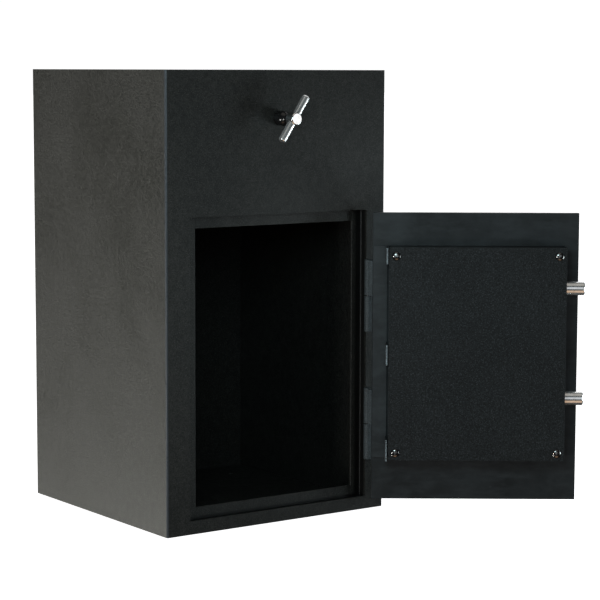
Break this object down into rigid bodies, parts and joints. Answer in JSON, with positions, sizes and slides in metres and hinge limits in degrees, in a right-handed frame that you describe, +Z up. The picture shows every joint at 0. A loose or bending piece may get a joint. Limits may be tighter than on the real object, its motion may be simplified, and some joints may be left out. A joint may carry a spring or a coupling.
{
  "type": "parcel drop box",
  "caption": "Upright steel parcel safe: a top slot feeds a rotary drop drum turned by a T-handle, and a side-hinged door with round locking bolts stands open on the compartment below.",
  "frame": {"origin": "middle of the cabinet's underside, on the floor it stands on", "axes": "+Z up, +X to the right as one faces the box, +Y from the front face to the back, so the front face is at Y = -0.178"},
  "size_m": [0.5529, 0.57, 0.61],
  "materials": {
    "powder_coat": "fine-textured matt black powder coat",
    "inner_coat": "matt black coat inside the cabinet",
    "cover_coat": "matt black coat with a fine speckled texture",
    "hinge_steel": "thin grey-blue coat over turned steel",
    "zinc_plate": "satin zinc plating",
    "chrome": "polished",
    "black_gloss": "gloss black",
    "bronze": "machined"
  },
  "bodies": {
    "cabinet": {"body_wrap": "powder_coat", "back_panel": "powder_coat", "top_plate": "powder_coat", "floor_plate": "powder_coat", "door_stop_left": "powder_coat", "door_stop_right": "powder_coat", "door_stop_bottom": "powder_coat", "door_stop_top": "powder_coat", "hopper_cheek_left": "inner_coat", "hopper_baffle_left": "inner_coat", "hopper_cheek_right": "inner_coat", "hopper_baffle_right": "inner_coat", "hopper_front_bearing": "bronze", "hopper_rear_bearing": "bronze", "hopper_stop_left": "zinc_plate", "hopper_stop_right": "zinc_plate", "lower_hinge_frame_barrel": "hinge_steel", "lower_hinge_washer": "black_gloss", "lower_hinge_pin": "zinc_plate", "upper_hinge_frame_barrel": "hinge_steel", "upper_hinge_washer": "black_gloss", "upper_hinge_pin": "zinc_plate"},
    "hopper": {"hopper_drum": "zinc_plate", "hopper_end_front": "zinc_plate", "hopper_end_rear": "zinc_plate", "hopper_shaft_front": "zinc_plate", "hopper_shaft_rear": "zinc_plate", "hopper_stop_pin": "zinc_plate", "drop_handle_hub": "black_gloss", "drop_handle_head": "chrome", "drop_handle_bar": "chrome"},
    "door": {"door_plate": "powder_coat", "hinge_side_bracket": "powder_coat", "housing_top": "cover_coat", "housing_bottom": "cover_coat", "housing_lock_side": "cover_coat", "bolt_cover": "cover_coat", "cover_screw_left_top": "chrome", "cover_screw_left_bottom": "chrome", "cover_screw_right_top": "chrome", "cover_screw_right_bottom": "chrome", "lower_hinge_door_barrel": "hinge_steel", "upper_hinge_door_barrel": "hinge_steel", "lower_bolt_guide": "zinc_plate", "upper_bolt_guide": "zinc_plate", "lock_escutcheon": "chrome", "lock_case": "zinc_plate", "lock_tongue": "bronze"},
    "door_handle": {"door_handle_hub": "black_gloss", "door_handle_head": "chrome", "door_handle_bar": "chrome", "door_handle_spindle": "zinc_plate", "handle_cam": "zinc_plate", "cam_pin": "zinc_plate"},
    "boltwork": {"lower_bolt": "chrome", "upper_bolt": "chrome", "bolt_carrier": "zinc_plate"},
    "lock_plug": {"lock_plug": "bronze"}
  },
  "joints": [
    {"name": "drum_turn", "type": "hinge", "parent": "cabinet", "child": "hopper", "pos_m": [0, -0.178, 0.546], "axis": [0, 1, 0], "range_deg": [0, 180]},
    {"name": "door_swing", "type": "hinge", "parent": "cabinet", "child": "door", "pos_m": [0.1465, -0.1838, 0.211], "axis": [0, 0, 1], "range_deg": [-143.9, 36.1]},
    {"name": "door_handle_turn", "type": "hinge", "parent": "door", "child": "door_handle", "pos_m": [0.30245, -0.32042, 0.24], "axis": [-0.5892, -0.808, 0], "range_deg": [0, 90]},
    {"name": "bolt_throw", "type": "slide", "parent": "door", "child": "boltwork", "axis": [-0.808, 0.5892, 0], "range_m": [0, 0.028]},
    {"name": "key_turn", "type": "hinge", "parent": "door", "child": "lock_plug", "pos_m": [0.30245, -0.32042, 0.289], "axis": [-0.5892, -0.808, 0], "range_deg": [0, 90]}
  ],
  "couplings": [
    {"joint": "bolt_throw", "follows": "door_handle_turn", "m_per_rad": 0.01782}
  ]
}
